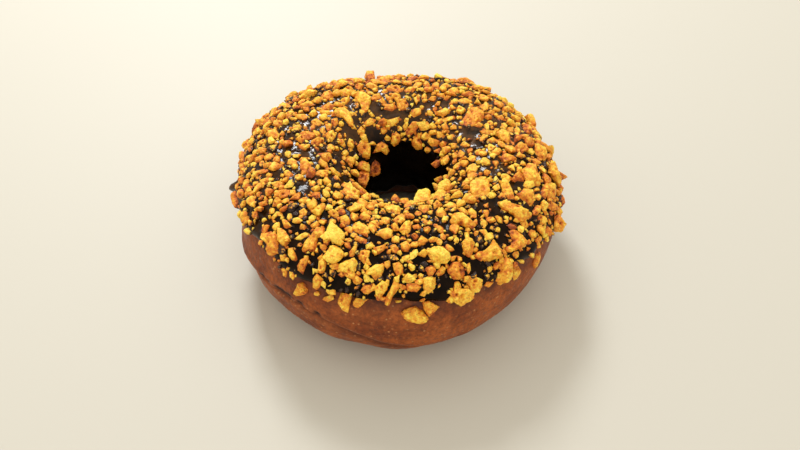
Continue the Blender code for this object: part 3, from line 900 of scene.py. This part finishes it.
def outline_points(corners, columns):
    """Points along the edges of each polygon, in order, with one on every corner. Corners are (heading,
    length), sorted, and the spare slots repeat the first a turn later."""
    number = (corners[..., 0] < corners[:, :1, 0] + 6.28).sum(axis=1)[:, None]
    column = np.arange(columns)[None, :]
    edge = column * number // columns
    start = -(-edge * columns // number)
    end = -(-(edge + 1) * columns // number)
    share = ((column - start) / (end - start))[..., None]
    flat = corners[..., 1:] * np.stack([np.cos(corners[..., 0]), np.sin(corners[..., 0])], axis=-1)
    here = np.take_along_axis(flat, edge[..., None], axis=1)
    there = np.take_along_axis(flat, ((edge + 1) % number)[..., None], axis=1)
    return here + (there - here) * share


def grain_shapes(rng, grid, corners, size, thick):
    """Broken grains in millimetres, lying flat about their middle. Each ring is the polygon, drawn in to the
    ring's width. Planes then cut off the top at a slant, dents sink it, and clouds of three sizes roughen it,
    large ones most. The depth of dents and hollows is returned beside the shapes."""
    count = len(size)
    outline = outline_points(corners, grid["columns"])
    flat = outline[:, None] * grid["wide"][:, None, None]
    rise = thick[:, None, None, None] / 2 * grid["high"][:, None, None]
    rings = np.concatenate([flat, rise + 0 * flat[..., :1]], axis=-1).reshape(count, -1, 3)
    pole = np.zeros((count, 1, 3))
    pole[:, 0, 2] = thick / 2
    shapes = np.concatenate([-pole, rings, pole], axis=1)

    slopes = rng.normal(size=(count, GRAIN_CUTS, 3))
    slopes[..., 2] = np.abs(slopes[..., 2]) + 1.0
    slopes /= np.linalg.norm(slopes, axis=-1, keepdims=True)
    reach = np.einsum("ckd,cvd->ckv", slopes, shapes)
    limit = reach.max(axis=-1, keepdims=True) * rng.uniform(*GRAIN_CUT_REACH, (count, GRAIN_CUTS, 1))
    shapes = shapes * (limit / np.maximum(reach, limit)).min(axis=1)[..., None]

    dents = rng.uniform(-0.3, 0.3, (count, GRAIN_DENTS, 2)) * size[:, None, None]
    away = np.linalg.norm(shapes[:, None, :, :2] - dents[:, :, None], axis=-1) / size[:, None, None]
    deep = rng.uniform(0, 1, (count, GRAIN_DENTS, 1))
    deep = deep * (rng.uniform(0, 1, (count, GRAIN_DENTS, 1)) < DENT_SHARE)
    dent = (deep * bell(away, DENT_WIDTH)).max(axis=1) * (shapes[..., 2] > 0)
    shapes[..., 2] -= DENT_DEPTH * size[:, None] * dent

    scaled = shapes / size[:, None, None] + rng.uniform(0, 90, (count, 1, 3))
    lumps = clouds(scaled, LUMP_LAYERS)
    grit = clouds(scaled, GRIT_LAYERS) * np.clip(0.7 + 0.15 * size, 0.8, 1.6)[:, None]
    length = np.linalg.norm(shapes, axis=-1, keepdims=True) + 1e-6
    shapes = shapes * (1 + ((lumps + grit) * size[:, None])[..., None] / length)
    return shapes, dent - 9.0 * (lumps + grit)


def in_picture(points):
    """Where points appear in the photograph, in pixels, and how far ahead of the camera they are."""
    away = points - CAMERA_PLACE
    ahead = away @ CAMERA_AHEAD
    x = PHOTO_WIDTH / 2 + CAMERA_FOCUS * (away @ CAMERA_RIGHT) / ahead
    y = PHOTO_HEIGHT / 2 - CAMERA_FOCUS * (away @ CAMERA_UP) / ahead
    return x, y, ahead


def sight_lines(x, y):
    """Directions from the camera through places of the photograph."""
    across = (np.asarray(x) - PHOTO_WIDTH / 2) / CAMERA_FOCUS
    down = (np.asarray(y) - PHOTO_HEIGHT / 2) / CAMERA_FOCUS
    return CAMERA_AHEAD + across[..., None] * CAMERA_RIGHT - down[..., None] * CAMERA_UP


def carrier_height(azimuth, turn):
    """Height of what crumbs lie on above the dough: the icing's, or none beyond its edges."""
    first, last = coat_edges(azimuth)
    return np.where((turn > first) & (turn < last), COAT_HEIGHT, 0.0)


def seen_surface():
    """Places all over the part of the ring that faces the camera, and where they appear in the photograph."""
    azimuth, turn = np.meshgrid(np.radians(np.arange(0, 360, 0.5)), np.radians(np.arange(-12, 190, 0.8)))
    azimuth, turn = azimuth.ravel(), turn.ravel()
    place = ring_point(azimuth, turn, carrier_height(azimuth, turn))
    facing = (surface_axes(azimuth, turn)[2] * (CAMERA_PLACE - place)).sum(axis=1) > 0
    x, y, ahead = in_picture(place[facing])
    return {"azimuth": azimuth[facing], "turn": turn[facing], "x": x, "y": y, "ahead": ahead}


def under_pixel(surface, x, y):
    """Azimuth and turn of the place that appears nearest to x, y. Places farther from the camera count as a
    little less near."""
    miss = np.hypot(surface["x"] - x, surface["y"] - y)
    best = np.argmin(miss + FARTHER_COSTS * surface["ahead"])
    return surface["azimuth"][best], surface["turn"][best]


def polygon_middle(x, y):
    """Centre of a polygon's area, and the area."""
    cross = x * np.roll(y, -1) - np.roll(x, -1) * y
    area = cross.sum() / 2
    middle_x = ((x + np.roll(x, -1)) * cross).sum() / (6 * area)
    middle_y = ((y + np.roll(y, -1)) * cross).sum() / (6 * area)
    return middle_x, middle_y, abs(area)


def sorted_corners(across, up):
    """Corners as (heading, length) about the middle, sorted, in a full set of slots."""
    headings = np.arctan2(up, across)
    order = np.argsort(headings)
    corners = np.stack([headings[order], np.hypot(across, up)[order]], axis=-1)
    spare = np.tile(corners[:1] + (2 * np.pi, 0), (OUTLINE_SLOTS - len(corners), 1))
    return np.concatenate([corners, spare])


def seen_crumbs(rng, surface):
    """The crumbs of the table. Each stands on the surface under its middle. It lies in a plane turned a part
    of the way from the surface towards the camera, and the sight lines through its corners give its outline
    there. The steeper it stands, the less its middle sinks in, so that no more than one side is buried."""
    crumbs = []
    for tone, *numbers in SEEN_CRUMBS:
        x, y = np.array(numbers[::2], float), np.array(numbers[1::2], float)
        middle_x, middle_y, area = polygon_middle(x, y)
        x, y = middle_x + OUTLINE_SWELL * (x - middle_x), middle_y + OUTLINE_SWELL * (y - middle_y)
        azimuth, turn = under_pixel(surface, middle_x, middle_y)
        foot = ring_point(azimuth, turn, carrier_height(azimuth, turn))
        along, _, out = surface_axes(azimuth, turn)
        to_camera = CAMERA_PLACE - foot
        distance = np.linalg.norm(to_camera)
        facing = out + SEEN_TURNED * to_camera / distance + rng.normal(0, SEEN_WOBBLE, 3)
        facing /= np.linalg.norm(facing)
        size = math.sqrt(area * 4 / math.pi) * distance / CAMERA_FOCUS
        thick = size * rng.uniform(*(SEEN_THICK if size < SEEN_LARGE else SEEN_THICK_LARGE))
        steep = np.linalg.norm(np.cross(facing, out))
        base = foot + out * (thick * (0.5 - ICING_SINK) + 0.2 * size * steep)
        first = along - facing * (along @ facing)
        first /= np.linalg.norm(first)
        second = np.cross(facing, first)
        rays = sight_lines(np.append(x, middle_x), np.append(y, middle_y))
        stretch = ((base - CAMERA_PLACE) @ facing) / (rays @ facing)
        spots = CAMERA_PLACE + rays * stretch[:, None]
        middle = spots[-1]
        corners = sorted_corners((spots[:-1] - middle) @ first, (spots[:-1] - middle) @ second)
        smear = -0.25 + 0.5 * rng.uniform() ** 4
        crumbs.append((azimuth, turn, size, thick, tone, smear, corners, middle, first, second, facing))
    return as_crumbs(crumbs)


def as_crumbs(rows):
    return {name: np.array(column) for name, column in zip(CRUMB_PARTS, zip(*rows))}


def chosen(crumbs, mask):
    return {name: values[mask] for name, values in crumbs.items()}


def joined(*groups):
    return {name: np.concatenate([group[name] for group in groups]) for name in groups[0]}


def surface_axes(azimuth, turn):
    """Unit vectors along the ring, up the section and out of the surface."""
    step = 0.01
    along = ring_point(azimuth + step, turn) - ring_point(azimuth - step, turn)
    up = ring_point(azimuth, turn + step) - ring_point(azimuth, turn - step)
    along /= np.linalg.norm(along, axis=-1, keepdims=True)
    up /= np.linalg.norm(up, axis=-1, keepdims=True)
    out = np.cross(along, up)
    out /= np.linalg.norm(out, axis=-1, keepdims=True)
    return along, up, out


def turned_about(first, second, angle):
    """Both unit vectors turned by the angle in the plane that they span."""
    cosine, sine = np.cos(angle)[:, None], np.sin(angle)[:, None]
    return first * cosine + second * sine, second * cosine - first * sine


def random_corners(rng, size):
    """Polygons of four to seven corners, spread unevenly round ellipses and pushed in and out."""
    count = len(size)
    number = rng.integers(4, 8, (count, 1))
    slot = np.arange(OUTLINE_SLOTS)[None, :]
    headings = (slot + rng.uniform(-0.33, 0.33, (count, OUTLINE_SLOTS))) * 2 * np.pi / number
    longer = size[:, None] * rng.uniform(0.50, 0.64, (count, 1))
    shorter = longer * rng.uniform(0.42, 0.92, (count, 1))
    lean = rng.uniform(0, np.pi, (count, 1))
    length = longer * shorter / np.hypot(shorter * np.cos(headings - lean), longer * np.sin(headings - lean))
    length = length * rng.uniform(0.70, 1.18, (count, OUTLINE_SLOTS))
    spare = slot >= number
    headings = np.where(spare, headings[:, :1] + 2 * np.pi, headings)
    length = np.where(spare, length[:, :1], length)
    return np.stack([headings, length], axis=-1)


def scatter_crumbs(rng, taken, count, low, high, closeness, tries, thickness):
    """Crumbs strewn over the icing, largest first. Each try is a random place on the ring, kept where it is
    clear of what is there by a share of both sizes. Every crumb gets a random outline, heading and tilt."""
    sizes = np.sort(low * (high / low) ** (rng.uniform(0, 1, count) ** 1.3))[::-1]
    azimuth = rng.uniform(-np.pi, np.pi, tries)
    turn = np.radians(rng.uniform(*STREWN_TURNS, tries))
    place = ring_point(azimuth, turn, np.full(tries, COAT_HEIGHT))
    first, last = coat_edges(azimuth)
    even = rng.uniform(0, STREWN_RADIUS, tries) < np.hypot(place[:, 0], place[:, 1])
    inside = even & (turn > first + 0.02) & (turn < last - 0.25)
    azimuth, turn, place = azimuth[inside], turn[inside], place[inside]
    placed = len(taken["size"])
    places = np.concatenate([taken["place"], np.zeros((count, 3))])
    widths = np.concatenate([taken["size"], np.zeros(count)])
    kept = []
    for trial in range(len(place)):
        size = sizes[len(kept)]
        gaps = np.linalg.norm(places[:placed] - place[trial], axis=1)
        if np.all(gaps > closeness * (widths[:placed] + size) / 2):
            places[placed] = place[trial]
            widths[placed] = size
            placed += 1
            kept.append((azimuth[trial], turn[trial], size))
            if len(kept) == count:
                break
    azimuth, turn, size = np.array(kept).T
    number = len(size)
    along, up, out = surface_axes(azimuth, turn)
    along, up = turned_about(along, up, rng.uniform(0, 2 * np.pi, number))
    up, facing = turned_about(up, out, rng.normal(0, STREWN_TILT, number))
    along, facing = turned_about(along, facing, rng.normal(0, STREWN_TILT, number))
    thick = size * rng.uniform(*thickness, number)
    middle = ring_point(azimuth, turn, COAT_HEIGHT + thick * (0.5 - ICING_SINK))
    tone = np.clip(rng.normal(*STREWN_TONE, number), 0, 1)
    smear = 0.9 * rng.uniform(0, 1, number) ** 3
    corners = random_corners(rng, size)
    columns = (azimuth, turn, size, thick, tone, smear, corners, middle, along, up, facing)
    return dict(zip(CRUMB_PARTS, columns))


def lay_crumbs(rng, name, crumbs, grid, material):
    """One mesh of all crumbs of a kind. Painted shade deepens their tone in hollows and towards the foot, in
    small ones most, and the tops are painted paler. Soak is the height of each vertex above the icing, less
    the crumb's smear. Crumbs that lie on bare dough aren't soaked."""
    azimuth, turn, size = crumbs["azimuth"], crumbs["turn"], crumbs["size"]
    shapes, hollow = grain_shapes(rng, grid, crumbs["corners"], size, crumbs["thick"])
    first, second, facing = (crumbs[key][:, None] for key in ("first", "second", "facing"))
    vertices = (crumbs["middle"][:, None] + shapes[..., :1] * first + shapes[..., 1:2] * second
                + shapes[..., 2:] * facing)
    base = carrier_height(azimuth, turn)
    foot = ring_point(azimuth, turn, base)
    height = ((vertices - foot[:, None]) * surface_axes(azimuth, turn)[2][:, None]).sum(axis=-1)
    soak = height - crumbs["smear"][:, None] + np.where(base > 0, 0.0, 9.0)[:, None]
    rise = np.clip(height / height.max(axis=1, keepdims=True), 0, 1)
    # Painted shade: tone deepens in hollows and towards the foot, and the tops are painted paler
    painted_shade_strength = np.clip(1.0 - 0.1 * size, 0.45, 0.8)[:, None]
    tone = crumbs["tone"][:, None] + 0.6 * hollow + painted_shade_strength * (0.74 - rise)
    offsets = (np.arange(len(size)) * shapes.shape[1])[:, None, None]
    quads = (grid["quads"][None] + offsets).reshape(-1, 4)
    triangles = (grid["triangles"][None] + offsets).reshape(-1, 3)
    values = {"tone": tone, "soak": soak}
    piece = make_piece(name, vertices.reshape(-1, 3), quads, triangles, material, values, CRUMB_CREASE)


def crumb_places(*groups):
    """Where crumbs stand on the icing, and their sizes."""
    place = [ring_point(group["azimuth"], group["turn"], COAT_HEIGHT) for group in groups]
    return {"place": np.concatenate(place), "size": np.concatenate([group["size"] for group in groups])}


def bare_places(surface):
    """The bare patches of the table, as places on the icing and sizes."""
    spots = [under_pixel(surface, x, y) for x, y, _ in BARE_PATCHES]
    place = np.array([ring_point(azimuth, turn, COAT_HEIGHT) for azimuth, turn in spots])
    distance = np.linalg.norm(place - CAMERA_PLACE, axis=1)
    radius = np.array([radius for _, _, radius in BARE_PATCHES])
    return {"place": place, "size": 2 * radius * distance / CAMERA_FOCUS}


def make_crunch():
    """The crumbs of the table first, then others round them, bits in the gaps, and dust between them."""
    rng = np.random.default_rng(7)
    material = crunch_material()
    surface = seen_surface()
    seen = seen_crumbs(rng, surface)
    bare = bare_places(surface)
    flakes = scatter_crumbs(rng, joined(crumb_places(seen), bare), *STREWN_FLAKES)
    flakes = joined(chosen(seen, seen["size"] > FLAKE_SIZE), flakes)
    nuggets = scatter_crumbs(rng, joined(crumb_places(seen, flakes), bare), *STREWN_NUGGETS)
    nuggets = joined(chosen(seen, seen["size"] <= FLAKE_SIZE), nuggets)
    bits = scatter_crumbs(rng, joined(crumb_places(flakes, nuggets), bare), *STREWN_BITS)
    dust = scatter_crumbs(rng, joined(crumb_places(flakes), bare), *STREWN_DUST)
    dust["tone"] += DUST_TONE
    lay_crumbs(rng, "crunch_flakes", flakes, grain_grid(3, 11, 38), material)
    lay_crumbs(rng, "crunch_nuggets", nuggets, grain_grid(1, 4, 10), material)
    lay_crumbs(rng, "crunch_bits", bits, grain_grid(1, 2, 8), material)
    lay_crumbs(rng, "crunch_dust", dust, grain_grid(0, 1, 5), material)
    return crumb_places(flakes, nuggets)


# Floor, light and camera

ROOM_STRENGTH = 1.22

# Each light: azimuth and elevation in degrees, distance and size in metres, power and colour
WINDOW_LIGHT = (106.0, 43.0, 0.62, 0.14, 2.9, (0.93, 0.97, 1.0))
SKY_LIGHT = (100.0, 62.0, 0.80, 0.60, 0.7, (1.0, 0.98, 0.93))
LIGHT_AIM = 0.015


def make_stage():
    """A plain pale floor, a small and a large light behind the ring, and a bright room, brighter in front."""
    bpy.ops.mesh.primitive_plane_add(size=4.0, location=(0, 0, 0))
    floor = bpy.context.active_object
    floor.name = "floor"
    material, _, shader = new_material("pale floor")
    shader.inputs["Base Color"].default_value = (*FLOOR_COLOUR, 1.0)
    shader.inputs["Roughness"].default_value = 0.6
    floor.data.materials.append(material)

    world = bpy.data.worlds.new("room")
    bpy.context.scene.world = world
    world.use_nodes = True
    tree = world.node_tree
    sky = tree.nodes["Background"]
    sky.inputs["Strength"].default_value = ROOM_STRENGTH
    place = tree.nodes.new("ShaderNodeTexCoord")
    parts = tree.nodes.new("ShaderNodeSeparateXYZ")
    tree.links.new(place.outputs["Generated"], parts.inputs["Vector"])
    tone = ramp(tree, combine(tree, "MULTIPLY_ADD", parts.outputs["Y"], 0.5, 0.5),
                (0.10, (1.0, 0.94, 0.82)), (0.75, (0.72, 0.68, 0.61)))
    tree.links.new(tone, sky.inputs["Color"])

    add_light("window", *WINDOW_LIGHT)
    add_light("sky", *SKY_LIGHT)


def add_light(name, azimuth, elevation, distance, size, power, colour):
    """A square area light, facing the doughnut from this azimuth and elevation in degrees."""
    light = bpy.data.lights.new(name, "AREA")
    light.size = size
    light.energy = power
    light.color = colour
    lamp = bpy.data.objects.new(name, light)
    flat = distance * math.cos(math.radians(elevation))
    lamp.location = (flat * math.cos(math.radians(azimuth)), flat * math.sin(math.radians(azimuth)),
                     distance * math.sin(math.radians(elevation)) + LIGHT_AIM)
    lamp.rotation_euler = (math.radians(90 - elevation), 0, math.radians(azimuth + 90))
    bpy.context.scene.collection.objects.link(lamp)


def make_camera():
    camera = bpy.data.cameras.new("camera")
    camera.sensor_width = SENSOR_WIDTH
    camera.lens = CAMERA_FOCUS / PHOTO_WIDTH * SENSOR_WIDTH
    camera.clip_start = 0.01
    holder = bpy.data.objects.new("camera", camera)
    holder.location = [value * MM for value in CAMERA_PLACE]
    holder.rotation_euler = (math.radians(90 - CAMERA_DIP), 0, 0)
    bpy.context.scene.collection.objects.link(holder)
    bpy.context.scene.camera = holder


bpy.context.scene.view_settings.view_transform = "Standard"
make_camera()
make_stage()
make_dough()
make_icing(make_crunch())
